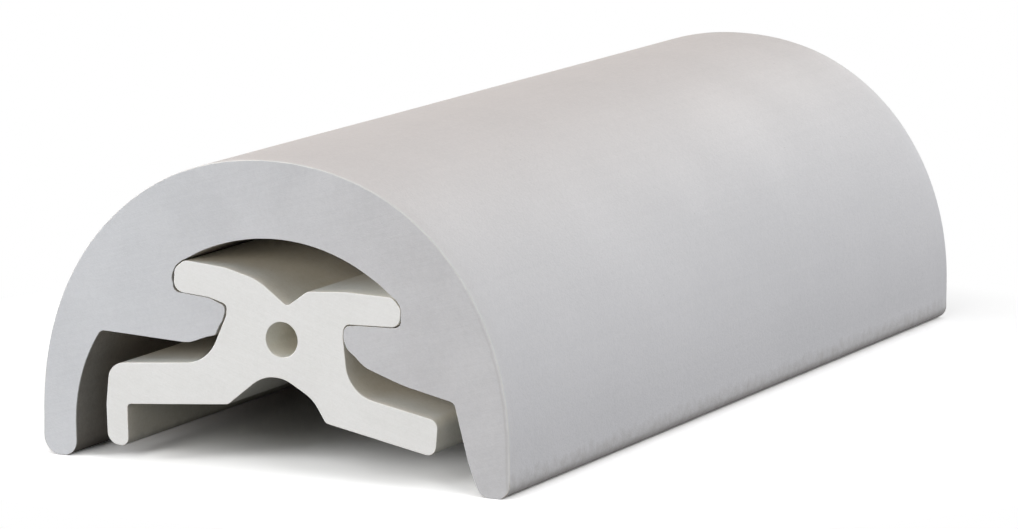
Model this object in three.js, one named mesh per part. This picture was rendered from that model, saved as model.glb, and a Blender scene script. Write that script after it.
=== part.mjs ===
import * as THREE from 'three';

// A length of two-piece fender profile, lying on its two lips. Millimetres, Z up.
// X runs across the section, Y along the stock, and the floor is at z = 0.

// Stock length and outer dome
const LENGTH = 141;
const WIDTH = 65.3;
const HEIGHT = 39.3;
const DOME_BASE_HEIGHT = 5;
const DOME_POWER = 2.12;

// The inner faces are drawn in a seat frame: turned clockwise about a point over the floor
const SEAT_TURN_DEGREES = 5;
const SEAT_HEIGHT = 6.8;

// Lips, at the foot of each side
const LEFT_LIP_THICKNESS = 4.9;
const LEFT_LIP_OUTER_ROUND = 2.6;
const LEFT_LIP_INNER_ROUND = 1.9;
const LEFT_WALL_RADIUS = 21;
const LEFT_WALL_CENTRE_U = -6.6;
const LEFT_WALL_CENTRE_V = -2.9;
const LEFT_WALL_TOP_ROUND = 0.9;
const RIGHT_LIP_THICKNESS = 4.05;
const RIGHT_LIP_OUTER_ROUND = 1.7;
const RIGHT_LIP_INNER_ROUND = 1.7;
const RIGHT_WALL_BEND_SET_IN = 5.65;
const RIGHT_WALL_BEND_HEIGHT = 4.1;
const RIGHT_WALL_BEND_ROUND = 12;

// Left hook, with a nearly level underside and a blunt nose
const LEFT_HOOK_UNDERSIDE = 7.42;
const LEFT_HOOK_RAMP_U = -12.3;
const LEFT_HOOK_RAMP_V = 7.92;
const LEFT_HOOK_RAMP_ROUND = 4;
const LEFT_HOOK_HEEL_U = -8.45;
const LEFT_HOOK_HEEL_V = 9.8;
const LEFT_HOOK_HEEL_ROUND = 1.8;
const LEFT_HOOK_TOP = 13.78;
const LEFT_NOSE_TIP = -7.7;
const LEFT_NOSE_DROP = 0.5;
const LEFT_NOSE_FALL_U = -9.9;
const LEFT_NOSE_FALL_ROUND = 3;
const LEFT_NOSE_ROUND = 0.7;
const LEFT_SLOT_END = -15.35;

// Right hook, with a sloped underside and a tapered nose
const RIGHT_WALL_TOP_U = 24.6;
const RIGHT_WALL_TOP_V = 6.69;
const RIGHT_WALL_TOP_ROUND = 0.8;
const RIGHT_HOOK_BEND_U = 17.5;
const RIGHT_HOOK_BEND_V = 7.62;
const RIGHT_HOOK_BEND_ROUND = 20;
const RIGHT_HOOK_HEEL_U = 12.1;
const RIGHT_HOOK_HEEL_V = 8.98;
const RIGHT_HOOK_HEEL_ROUND = 4;
const RIGHT_NOSE_FLANK_U = 9.75;
const RIGHT_NOSE_FLANK_V = 10.9;
const RIGHT_NOSE_FLANK_ROUND = 2.5;
const RIGHT_NOSE_TIP = 9.24;
const RIGHT_NOSE_FOOT = 12.2;
const RIGHT_NOSE_ROUND = 1;
const RIGHT_HOOK_TOP_AT_NOSE = 13.53;
const RIGHT_HOOK_TOP_AT_SLOT_END = 14.37;
const RIGHT_SLOT_END = 16.8;

// Slot between the hooks and the arch
const SLOT_FLOOR_ROUND = 1.2;
const SLOT_ROOF_ROUND = 0.7;
const SLOT_SHOULDER_RISE = 0.75;
const ARCH_SPRINGING = 17;
const ARCH_RADIUS = 25;
const ARCH_RUN_IN_DEGREES = 12;

// Clearance between the two pieces
const SEAT_CLEARANCE = 0.3;

// Support profile: arms held under the arch
const ARM_TOP = 18.2;
const ARM_TIP_DROP = 1.2;
const ARM_TIP_ROUND = 1.2;
const LEFT_ARM_FOOT_ROUND = 1.5;
const ARM_CROWN_ROUND = 8;
const VALLEY_U = 0.95;
const VALLEY_DEPTH = 3.4;
const VALLEY_ROUND = 0.6;
const LEFT_SHOULDER_U = -3.3;
const LEFT_SHOULDER_DROP = 0.8;
const LEFT_CROWN_U = -8;
const RIGHT_SHOULDER_U = 3.6;
const RIGHT_SHOULDER_DROP = 1.15;
const RIGHT_SHOULDER_ROUND = 1;
const RIGHT_CROWN_U = 9;
const RIGHT_CROWN_DROP = 0.35;

// Support profile: neck with its bore
const BORE_DIAMETER = 4.4;
const BORE_U = 0.57;
const BORE_V = 10.5;
const LEFT_NECK_FOOT_U = -9.6;
const RIGHT_NECK_FOOT_U = 10.3;
const NECK_ROUND = 5;

// Support profile: legs against the hull, and the spacer under the left leg
const LEFT_LEG_TIP = -23.4;
const LEFT_LEG_THICKNESS = 5.3;
const LEFT_LEG_SLOPE_DEGREES = 9.6;
const LEFT_LEG_TIP_ROUND = 2.3;
const RIGHT_LEG_TIP = 22.7;
const RIGHT_LEG_THICKNESS = 4.6;
const RIGHT_LEG_SLOPE_DEGREES = 6.2;
const RIGHT_LEG_TIP_ROUND = 1.2;
const KNEE_HEIGHT = 1.15;
const KNEE_ROUND = 0.8;
const LEFT_KNEE_U = -6.23;
const RIGHT_KNEE_U = 7.45;
const HULL_ARCH_CROWN_U = -0.58;
const HULL_ARCH_CROWN_V = 6.56;
const HULL_ARCH_CROWN_ROUND = 4.8;
const HULL_ARCH_BEND_U = 5.45;
const HULL_ARCH_BEND_V = 3.82;
const HULL_ARCH_BEND_ROUND = 5;
const SPACER_THICKNESS = 3;
const SPACER_DEPTH = 4.9;
const SPACER_SET_IN = 0.6;
const SPACER_OUTER_ROUND = 1.7;
const SPACER_INNER_ROUND = 1;
const SPACER_CORNER_ROUND = 0.5;

// Fineness of the curved stretches
const DOME_STEPS = 120;
const LARGEST_CHORD_GAP = 0.008;
const SHARE_OF_EDGE_FOR_ROUND = 0.49;
const SMALLEST_ROUND = 0.01;

const radians = THREE.MathUtils.degToRad;
const point = (u, v) => new THREE.Vector2(u, v);

// A corner is a place in the outline and the radius that rounds it off there.
function corner(place, round = 0) {
  return { place, round };
}

// Takes a place in the seat frame to the section's own x and z.
function seat(u, v) {
  const turn = radians(-SEAT_TURN_DEGREES);
  const place = point(u, v).rotateAround(point(0, 0), turn);
  return place.add(point(0, SEAT_HEIGHT));
}

// Number of straight steps that keeps an arc within the largest chord gap.
function arcSteps(radius, sweep) {
  const step = 2 * Math.acos(1 - LARGEST_CHORD_GAP / Math.max(radius, 2 * LARGEST_CHORD_GAP));
  return Math.max(2, Math.ceil(Math.abs(sweep) / step));
}

// Points along an arc in the seat frame, both ends included.
function seatArc(centreU, centreV, radius, startAngle, endAngle) {
  const steps = arcSteps(radius, endAngle - startAngle);
  const places = [];
  for (let i = 0; i <= steps; i++) {
    const angle = startAngle + ((endAngle - startAngle) * i) / steps;
    places.push(seat(centreU + radius * Math.cos(angle), centreV + radius * Math.sin(angle)));
  }
  return places;
}

// Points of one rounded corner, tangent to the edges on both sides of it.
function roundedCorner(before, at, after, round) {
  const back = before.clone().sub(at);
  const ahead = after.clone().sub(at);
  const room = SHARE_OF_EDGE_FOR_ROUND * Math.min(back.length(), ahead.length());
  back.normalize();
  ahead.normalize();
  const half = Math.acos(THREE.MathUtils.clamp(back.dot(ahead), -1, 1)) / 2;
  const run = Math.min(round / Math.tan(half), room);
  const radius = run * Math.tan(half);
  if (round === 0 || run < SMALLEST_ROUND) return [at];
  const centre = back.clone().add(ahead).normalize().multiplyScalar(radius / Math.sin(half)).add(at);
  const first = back.clone().multiplyScalar(run).add(at).sub(centre);
  const sweep = (Math.PI - 2 * half) * -Math.sign(back.cross(ahead));
  const steps = arcSteps(radius, sweep);
  const places = [];
  for (let i = 0; i <= steps; i++) {
    places.push(first.clone().rotateAround(point(0, 0), (sweep * i) / steps).add(centre));
  }
  return places;
}

// The outline through all the corners, with each one rounded.
function outline(corners) {
  const places = [];
  corners.forEach(({ place, round }, i) => {
    const before = corners[(i + corners.length - 1) % corners.length].place;
    const after = corners[(i + 1) % corners.length].place;
    places.push(...roundedCorner(before, place, after, round));
  });
  return new THREE.Shape(places);
}

// Outer dome from the right side over the crown to the left side.
function domeCorners() {
  const corners = [];
  for (let i = 0; i <= DOME_STEPS; i++) {
    const angle = (Math.PI * i) / DOME_STEPS;
    const across = Math.sign(Math.cos(angle)) * Math.abs(Math.cos(angle)) ** (2 / DOME_POWER);
    const up = Math.abs(Math.sin(angle)) ** (2 / DOME_POWER);
    const x = (WIDTH / 2) * across;
    const z = DOME_BASE_HEIGHT + (HEIGHT - DOME_BASE_HEIGHT) * up;
    corners.push(corner(point(x, z)));
  }
  return corners;
}

// Left lip and the curved inner wall above it, up to the left hook's underside.
function leftLipCorners() {
  const inner = LEFT_LIP_THICKNESS - WIDTH / 2;
  const rise = (LEFT_HOOK_UNDERSIDE - LEFT_WALL_CENTRE_V) / LEFT_WALL_RADIUS;
  const topAngle = Math.PI - Math.asin(Math.min(rise, 1));
  const footAngle = Math.PI + radians(SEAT_TURN_DEGREES);
  const wall = seatArc(LEFT_WALL_CENTRE_U, LEFT_WALL_CENTRE_V, LEFT_WALL_RADIUS, footAngle, topAngle);
  const top = wall.pop();
  return [
    corner(point(-WIDTH / 2, 0), LEFT_LIP_OUTER_ROUND),
    corner(point(inner, 0), LEFT_LIP_INNER_ROUND),
    ...wall.map((place) => corner(place)),
    corner(top, LEFT_WALL_TOP_ROUND),
  ];
}

// Left hook, from its underside round the nose and into the slot.
function leftHookCorners() {
  return [
    corner(seat(LEFT_HOOK_RAMP_U, LEFT_HOOK_RAMP_V), LEFT_HOOK_RAMP_ROUND),
    corner(seat(LEFT_HOOK_HEEL_U, LEFT_HOOK_HEEL_V), LEFT_HOOK_HEEL_ROUND),
    corner(seat(LEFT_NOSE_TIP, LEFT_HOOK_TOP - LEFT_NOSE_DROP), LEFT_NOSE_ROUND),
    corner(seat(LEFT_NOSE_FALL_U, LEFT_HOOK_TOP), LEFT_NOSE_FALL_ROUND),
    corner(seat(LEFT_SLOT_END, LEFT_HOOK_TOP), SLOT_FLOOR_ROUND),
  ];
}

// Centre of the arch, which springs from both ends of the slot.
function archCentre() {
  const halfSpan = (RIGHT_SLOT_END - LEFT_SLOT_END) / 2;
  const drop = Math.sqrt(Math.max(ARCH_RADIUS ** 2 - halfSpan ** 2, 0));
  return point((RIGHT_SLOT_END + LEFT_SLOT_END) / 2, ARCH_SPRINGING - drop);
}

// Angle at which the arch stops, short of the slot's end, to run on straight.
function archStop(slotEnd) {
  const centre = archCentre();
  const springing = Math.atan2(ARCH_SPRINGING - centre.y, slotEnd - centre.x);
  return springing + Math.sign(slotEnd - centre.x) * radians(ARCH_RUN_IN_DEGREES);
}

// Top corner of the slot's end, where the straight run of the arch comes down.
function slotShoulder(slotEnd) {
  return point(slotEnd, ARCH_SPRINGING + SLOT_SHOULDER_RISE);
}

// Arch over the slot, with a rounded corner where it meets each end of the slot.
function archCorners() {
  const centre = archCentre();
  const start = archStop(LEFT_SLOT_END);
  const end = archStop(RIGHT_SLOT_END);
  const arch = seatArc(centre.x, centre.y, ARCH_RADIUS, start, end);
  const left = slotShoulder(LEFT_SLOT_END);
  const right = slotShoulder(RIGHT_SLOT_END);
  return [
    corner(seat(left.x, left.y), SLOT_ROOF_ROUND),
    ...arch.map((place) => corner(place)),
    corner(seat(right.x, right.y), SLOT_ROOF_ROUND),
  ];
}

// Right hook, from the slot round the nose and along its sloped underside.
function rightHookCorners() {
  return [
    corner(seat(RIGHT_SLOT_END, RIGHT_HOOK_TOP_AT_SLOT_END), SLOT_FLOOR_ROUND),
    corner(seat(RIGHT_NOSE_TIP, RIGHT_HOOK_TOP_AT_NOSE), RIGHT_NOSE_ROUND),
    corner(seat(RIGHT_NOSE_TIP, RIGHT_NOSE_FOOT), RIGHT_NOSE_ROUND),
    corner(seat(RIGHT_NOSE_FLANK_U, RIGHT_NOSE_FLANK_V), RIGHT_NOSE_FLANK_ROUND),
    corner(seat(RIGHT_HOOK_HEEL_U, RIGHT_HOOK_HEEL_V), RIGHT_HOOK_HEEL_ROUND),
    corner(seat(RIGHT_HOOK_BEND_U, RIGHT_HOOK_BEND_V), RIGHT_HOOK_BEND_ROUND),
    corner(seat(RIGHT_WALL_TOP_U, RIGHT_WALL_TOP_V), RIGHT_WALL_TOP_ROUND),
  ];
}

// Right lip, thinner than the left one, and the bend in the inner wall above it.
function rightLipCorners() {
  const bend = point(WIDTH / 2 - RIGHT_WALL_BEND_SET_IN, RIGHT_WALL_BEND_HEIGHT);
  return [
    corner(bend, RIGHT_WALL_BEND_ROUND),
    corner(point(WIDTH / 2 - RIGHT_LIP_THICKNESS, 0), RIGHT_LIP_INNER_ROUND),
    corner(point(WIDTH / 2, 0), RIGHT_LIP_OUTER_ROUND),
  ];
}

function fenderOutline() {
  return outline([
    ...domeCorners(),
    ...leftLipCorners(),
    ...leftHookCorners(),
    ...archCorners(),
    ...rightHookCorners(),
    ...rightLipCorners(),
  ]);
}

// Top corners of an arm's tip, which keeps clear of the arch's straight run and the slot's end.
function armTipCorners(slotEnd) {
  const centre = archCentre();
  const stop = archStop(slotEnd);
  const top = point(Math.cos(stop), Math.sin(stop)).multiplyScalar(ARCH_RADIUS).add(centre);
  const foot = slotShoulder(slotEnd);
  const side = Math.sign(slotEnd - centre.x);
  const under = top.clone().lerp(foot, (ARM_TOP - top.y) / (foot.y - top.y));
  const fall = (top.y - foot.y) / top.distanceTo(foot);
  const crownU = under.x - (side * SEAT_CLEARANCE) / fall;
  return [
    corner(seat(crownU, ARM_TOP), ARM_TIP_ROUND),
    corner(seat(slotEnd - side * SEAT_CLEARANCE, ARM_TOP - ARM_TIP_DROP), ARM_TIP_ROUND),
  ];
}

// Top of the arms from right to left: two shoulders with a valley between them.
function armTopCorners() {
  return [
    ...armTipCorners(RIGHT_SLOT_END).reverse(),
    corner(seat(RIGHT_CROWN_U, ARM_TOP - RIGHT_CROWN_DROP), ARM_CROWN_ROUND),
    corner(seat(RIGHT_SHOULDER_U, ARM_TOP - RIGHT_SHOULDER_DROP), RIGHT_SHOULDER_ROUND),
    corner(seat(VALLEY_U, ARM_TOP - VALLEY_DEPTH), VALLEY_ROUND),
    corner(seat(LEFT_SHOULDER_U, ARM_TOP - LEFT_SHOULDER_DROP), ARM_CROWN_ROUND),
    corner(seat(LEFT_CROWN_U, ARM_TOP), ARM_CROWN_ROUND),
    ...armTipCorners(LEFT_SLOT_END),
  ];
}

// Height of a leg's hull side at this distance out from its knee.
function legUnderside(out, slopeDegrees) {
  return KNEE_HEIGHT - out * Math.tan(radians(slopeDegrees));
}

// Left arm and neck, which follow the left hook at the seat clearance.
function leftNeckCorners() {
  const armUnder = LEFT_HOOK_TOP + SEAT_CLEARANCE;
  const noseSide = LEFT_NOSE_TIP + SEAT_CLEARANCE;
  const noseTop = armUnder - LEFT_NOSE_DROP;
  return [
    corner(seat(LEFT_SLOT_END + SEAT_CLEARANCE, armUnder), LEFT_ARM_FOOT_ROUND),
    corner(seat(LEFT_NOSE_FALL_U, armUnder), LEFT_NOSE_FALL_ROUND),
    corner(seat(noseSide, noseTop), LEFT_NOSE_ROUND),
    corner(seat(noseSide, noseTop - 2 * LEFT_NOSE_ROUND), LEFT_NOSE_ROUND),
  ];
}

// Left leg, and the spacer that hangs from its tip.
function leftLegCorners() {
  const under = (u) => legUnderside(LEFT_KNEE_U - u, LEFT_LEG_SLOPE_DEGREES);
  const tipUnder = under(LEFT_LEG_TIP);
  const spacerOuter = LEFT_LEG_TIP + SPACER_SET_IN;
  const spacerInner = spacerOuter + SPACER_THICKNESS;
  const spacerRoot = spacerInner - SPACER_SET_IN;
  const spacerFoot = tipUnder - SPACER_DEPTH;
  return [
    corner(seat(LEFT_NECK_FOOT_U, under(LEFT_NECK_FOOT_U) + LEFT_LEG_THICKNESS), NECK_ROUND),
    corner(seat(LEFT_LEG_TIP, tipUnder + LEFT_LEG_THICKNESS), LEFT_LEG_TIP_ROUND),
    corner(seat(LEFT_LEG_TIP, tipUnder), LEFT_LEG_TIP_ROUND),
    corner(seat(spacerOuter, spacerFoot), SPACER_OUTER_ROUND),
    corner(seat(spacerInner, spacerFoot), SPACER_INNER_ROUND),
    corner(seat(spacerRoot, under(spacerRoot)), SPACER_CORNER_ROUND),
    corner(seat(LEFT_KNEE_U, KNEE_HEIGHT), KNEE_ROUND),
  ];
}

// Low arch between the two legs, open to the hull, with a straight flank on its left.
function hullArchCorners() {
  return [
    corner(seat(HULL_ARCH_CROWN_U, HULL_ARCH_CROWN_V), HULL_ARCH_CROWN_ROUND),
    corner(seat(HULL_ARCH_BEND_U, HULL_ARCH_BEND_V), HULL_ARCH_BEND_ROUND),
  ];
}

// Right leg, from its knee round the tip to the foot of the neck.
function rightLegCorners() {
  const under = (u) => legUnderside(u - RIGHT_KNEE_U, RIGHT_LEG_SLOPE_DEGREES);
  const tipUnder = under(RIGHT_LEG_TIP);
  return [
    corner(seat(RIGHT_KNEE_U, KNEE_HEIGHT), KNEE_ROUND),
    corner(seat(RIGHT_LEG_TIP, tipUnder), RIGHT_LEG_TIP_ROUND),
    corner(seat(RIGHT_LEG_TIP, tipUnder + RIGHT_LEG_THICKNESS), RIGHT_LEG_TIP_ROUND),
    corner(seat(RIGHT_NECK_FOOT_U, under(RIGHT_NECK_FOOT_U) + RIGHT_LEG_THICKNESS), NECK_ROUND),
  ];
}

// Right neck and arm, which follow the right hook at the seat clearance.
function rightNeckCorners() {
  const noseSide = RIGHT_NOSE_TIP - SEAT_CLEARANCE;
  const underAtNose = RIGHT_HOOK_TOP_AT_NOSE + SEAT_CLEARANCE;
  const underAtTip = RIGHT_HOOK_TOP_AT_SLOT_END + SEAT_CLEARANCE;
  return [
    corner(seat(noseSide, RIGHT_NOSE_FOOT), RIGHT_NOSE_ROUND),
    corner(seat(noseSide, underAtNose), RIGHT_NOSE_ROUND),
    corner(seat(RIGHT_SLOT_END - SEAT_CLEARANCE, underAtTip), ARM_TIP_ROUND),
  ];
}

function boreHole() {
  return new THREE.Path(seatArc(BORE_U, BORE_V, BORE_DIAMETER / 2, 0, 2 * Math.PI).slice(1));
}

function supportOutline() {
  const shape = outline([
    ...armTopCorners(),
    ...leftNeckCorners(),
    ...leftLegCorners(),
    ...hullArchCorners(),
    ...rightLegCorners(),
    ...rightNeckCorners(),
  ]);
  shape.holes.push(boreHole());
  return shape;
}

// Runs a section along the whole length of the stock.
function stockLength(section) {
  const geometry = new THREE.ExtrudeGeometry(section, { depth: LENGTH, bevelEnabled: false });
  geometry.rotateX(Math.PI / 2);
  geometry.translate(0, LENGTH / 2, 0);
  return geometry;
}

function flexibleGreyVinyl() {
  return new THREE.MeshStandardMaterial({ color: 0xc3bfbd, roughness: 0.6, metalness: 0 });
}

function rigidOffWhiteVinyl() {
  return new THREE.MeshStandardMaterial({ color: 0xdcdcd6, roughness: 0.42, metalness: 0 });
}

function piece(name, section, material) {
  const mesh = new THREE.Mesh(stockLength(section), material);
  mesh.name = name;
  return mesh;
}

function buildPart() {
  const part = new THREE.Group();
  part.name = 'fender_profile_length';
  part.add(piece('fender_profile', fenderOutline(), flexibleGreyVinyl()));
  part.add(piece('support_profile', supportOutline(), rigidOffWhiteVinyl()));
  return part;
}

export default buildPart();
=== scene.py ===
# A cut length of two-part boat fender profile: a flexible dome clipped over a rigid support.
# Metres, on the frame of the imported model: X across the section, Y along the stock, Z up.
import math

import bmesh
import bpy
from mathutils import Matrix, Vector


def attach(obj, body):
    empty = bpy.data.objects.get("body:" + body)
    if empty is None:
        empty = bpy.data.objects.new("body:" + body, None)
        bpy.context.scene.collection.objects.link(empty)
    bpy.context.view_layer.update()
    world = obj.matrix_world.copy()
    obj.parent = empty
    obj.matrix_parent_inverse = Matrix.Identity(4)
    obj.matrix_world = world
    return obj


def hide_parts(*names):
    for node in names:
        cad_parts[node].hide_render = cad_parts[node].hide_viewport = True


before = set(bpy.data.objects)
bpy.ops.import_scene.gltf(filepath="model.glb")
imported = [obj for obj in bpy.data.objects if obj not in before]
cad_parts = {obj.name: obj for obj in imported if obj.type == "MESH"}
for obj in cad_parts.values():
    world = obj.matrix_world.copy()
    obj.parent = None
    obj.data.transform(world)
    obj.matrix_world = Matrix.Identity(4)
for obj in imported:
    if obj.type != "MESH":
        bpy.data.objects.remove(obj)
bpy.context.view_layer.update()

# Lengths of the stock
MILLIMETRE = 0.001
STOCK_LENGTH = 141.0 * MILLIMETRE
WELD_DISTANCE = 0.002 * MILLIMETRE
LONGEST_OUTLINE_STEP = 0.4 * MILLIMETRE
STATION_SPACING = 3.0 * MILLIMETRE

# The softened edge of each sawn end, of which the dome's sheltered faces have only a share
DOME_EDGE_RADIUS = 0.13 * MILLIMETRE
SUPPORT_EDGE_RADIUS = 0.08 * MILLIMETRE
EDGE_STEPS = 4
OUTSIDE_SHARE = "outside_share"
CRISP_SHARE = 0.3

# The dome's outline, a slightly squared ellipse, and how near to it the open outside begins
DOME_HALF_WIDTH = 32.65 * MILLIMETRE
DOME_BASE_HEIGHT = 5.0 * MILLIMETRE
DOME_RISE = 34.3 * MILLIMETRE
DOME_POWER = 2.12
DOME_SKIN_START = 0.93
DOME_SKIN_FULL = 0.985

# How far the extruded walls wander inwards
DOME_WAVINESS = 0.06 * MILLIMETRE
SUPPORT_WAVINESS = 0.03 * MILLIMETRE
DOME_WAVE_SEED = 3.0
SUPPORT_WAVE_SEED = 11.0

# The seat of the support's arms in the fender's slot
SEAT_FULL_REACH = 0.36 * MILLIMETRE
SEAT_LAST_REACH = 1.6 * MILLIMETRE
SEAT_GAP = 0.04 * MILLIMETRE
SEAT_CLOSING = 0.26 * MILLIMETRE

# Places in the slot that the soft fender doesn't quite fill: x, z, spread and gap, in millimetres
SLACK_PLACES = (
    (-13.7, 23.9, 0.8, 0.3),
    (-6.4, 20.5, 1.6, 0.22),
    (-7.5, 17.8, 1.0, 0.42),
    (17.7, 20.3, 0.55, 0.26),
    (11.1, 19.8, 0.7, 0.16),
)

# Places where the soft fender hugs an arm's tip: x, z, spread and further closing, in millimetres
SNUG_PLACES = (
    (-13.6, 25.8, 0.7, 0.4),
    (18.15, 22.9, 0.7, 0.4),
)

# The camera
LENS_MILLIMETRES = 196.44
SENSOR_MILLIMETRES = 36.0
CAMERA_PLACE = (0.3229, -0.6582, 0.1386)
CAMERA_AZIMUTH = math.radians(26.292)
CAMERA_ELEVATION = math.radians(9.503)
CAMERA_REACH = 20.0

# Surface colours, linear
DOME_SKIN_LIGHT = (0.672, 0.657, 0.648, 1.0)
DOME_SKIN_DARK = (0.608, 0.597, 0.59, 1.0)
# Inside the dome, painted shade darkens the left walls and painted light brightens and warms the right
# ones
DOME_PAINTED_SHADE_LEFT_WALL_LIGHT = (0.41, 0.385, 0.355, 1.0)
DOME_PAINTED_SHADE_LEFT_WALL_DARK = (0.29, 0.27, 0.24, 1.0)
DOME_PAINTED_LIGHT_RIGHT_WALL_LIGHT = (0.72, 0.69, 0.635, 1.0)
DOME_PAINTED_LIGHT_RIGHT_WALL_DARK = (0.54, 0.505, 0.45, 1.0)
# A painted highlight along the dome's sawn edges
DOME_PAINTED_EDGE_HIGHLIGHT = (0.67, 0.68, 0.67, 1.0)
# The dome's sawn face, painted lighter on the left and darker on the right as light and shade
DOME_PAINTED_LIT_LEFT_CUT_LIGHT = (0.645, 0.665, 0.69, 1.0)
DOME_PAINTED_LIT_LEFT_CUT_DARK = (0.585, 0.605, 0.63, 1.0)
DOME_PAINTED_SHADE_RIGHT_CUT_LIGHT = (0.595, 0.60, 0.615, 1.0)
DOME_PAINTED_SHADE_RIGHT_CUT_DARK = (0.53, 0.535, 0.55, 1.0)
# Painted shade for a band beside the dome's edge on the sawn face
DOME_CUT_PAINTED_EDGE_SHADE = (0.47, 0.47, 0.47, 1.0)
SUPPORT_SKIN_LIGHT = (0.95, 0.935, 0.86, 1.0)
SUPPORT_SKIN_DARK = (0.82, 0.80, 0.705, 1.0)
# A painted highlight along the support's sawn edges
SUPPORT_PAINTED_EDGE_HIGHLIGHT = (0.87, 0.87, 0.84, 1.0)
# The support's sawn face, painted a little lighter on the left and darker on the right as light and shade
SUPPORT_PAINTED_LIT_LEFT_CUT_LIGHT = (0.84, 0.85, 0.84, 1.0)
SUPPORT_PAINTED_LIT_LEFT_CUT_DARK = (0.78, 0.79, 0.775, 1.0)
SUPPORT_PAINTED_SHADE_RIGHT_CUT_LIGHT = (0.825, 0.835, 0.825, 1.0)
SUPPORT_PAINTED_SHADE_RIGHT_CUT_DARK = (0.765, 0.775, 0.76, 1.0)
# Painted shade beside the dome's edge, on the support's sawn face
SUPPORT_CUT_PAINTED_EDGE_SHADE = (0.70, 0.70, 0.67, 1.0)
SPECK_COLOUR = (0.30, 0.28, 0.25, 1.0)
# Painted shade at the foot of the walls, near the floor
FOOT_SHADE_COLOUR = (0.35, 0.32, 0.28, 1.0)

# How rough each surface is, how far that wanders, and how deep its pattern is
DOME_SKIN_ROUGHNESS = 0.52
SUPPORT_SKIN_ROUGHNESS = 0.38
DOME_CUT_ROUGHNESS = 0.62
SUPPORT_CUT_ROUGHNESS = 0.55
SKIN_ROUGHNESS_SPAN = 0.06
CUT_ROUGHNESS_SPAN = 0.08
DOME_SKIN_DEPTH = 0.03 * MILLIMETRE
SUPPORT_SKIN_DEPTH = 0.012 * MILLIMETRE
DOME_CUT_DEPTH = 0.02 * MILLIMETRE
SUPPORT_CUT_DEPTH = 0.012 * MILLIMETRE
DOME_CUT_SLANT = 0.25
SUPPORT_CUT_SLANT = -0.35
SECOND_SLANT = 0.12

# Sizes of the patterns
SKIN_PATCH_SIZE = 22.0 * MILLIMETRE
SKIN_LINE_WIDTH = 0.9 * MILLIMETRE
SKIN_LINE_LENGTH = 70.0 * MILLIMETRE
SKIN_MOTTLE_SIZE = 0.9 * MILLIMETRE
SKIN_GRAIN_SIZE = 0.3 * MILLIMETRE
# Width of the painted highlight at the sawn ends
SKIN_HIGHLIGHT_RIM_WIDTH = 0.35 * MILLIMETRE
CUT_PATCH_SIZE = 9.0 * MILLIMETRE
CUT_MARK_WIDTH = 0.3 * MILLIMETRE
CUT_FINE_MARK_WIDTH = 0.12 * MILLIMETRE
CUT_MOTTLE_SIZE = 0.8 * MILLIMETRE
CUT_GRAIN_SIZE = 0.2 * MILLIMETRE
SPECK_CORE = 0.5

# Where a noise has its middle, and the part of its range that the patterns use
NOISE_MIDDLE = 0.5
NOISE_SPAN = (0.3, 0.7)
LINE_NOISE_SPAN = (0.32, 0.68)

# Shares of the patterns in a surface's tone and in its height
SKIN_TONE = {"cloud": 0.36, "lines": 0.1, "mottle": 0.2, "grain": 0.34}
SKIN_HEIGHT = {"lines": 0.12, "mottle": 0.23, "grain": 0.65}
CUT_TONE = {"cloud": 0.32, "marks": 0.18, "fine_marks": 0.12, "mottle": 0.2, "grain": 0.18}
CUT_HEIGHT = {"marks": 0.2, "fine_marks": 0.2, "grain": 0.6}
SKIN_TONE_SPAN = (0.2, 0.8)
CUT_TONE_SPAN = (0.27, 0.73)
SPECK_STRENGTH = 0.45
# Strength of the painted shade beside the dome's edge
PAINTED_EDGE_SHADE_STRENGTH = 0.7
# Strength of the painted shade at the foot
FOOT_SHADE_STRENGTH = 0.75

# Where the sockets are that share their name with others of a node
MIXED_NUMBERS = (2, 3)
MIXED_COLOURS = (6, 7)
MIXED_COLOUR = 2
COMPARED_NUMBERS = (0, 1)
COMPARED_WHOLE_NUMBERS = (2, 3)


def place_camera():
    """Sets the camera where the photograph was taken from."""
    lens = bpy.data.cameras.new("camera")
    lens.lens = LENS_MILLIMETRES
    lens.sensor_width = SENSOR_MILLIMETRES
    lens.sensor_fit = "HORIZONTAL"
    lens.clip_end = CAMERA_REACH
    camera = bpy.data.objects.new("camera", lens)
    camera.location = CAMERA_PLACE
    camera.rotation_euler = (math.pi / 2 - CAMERA_ELEVATION, 0.0, CAMERA_AZIMUTH)
    bpy.context.scene.collection.objects.link(camera)
    bpy.context.scene.camera = camera


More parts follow.
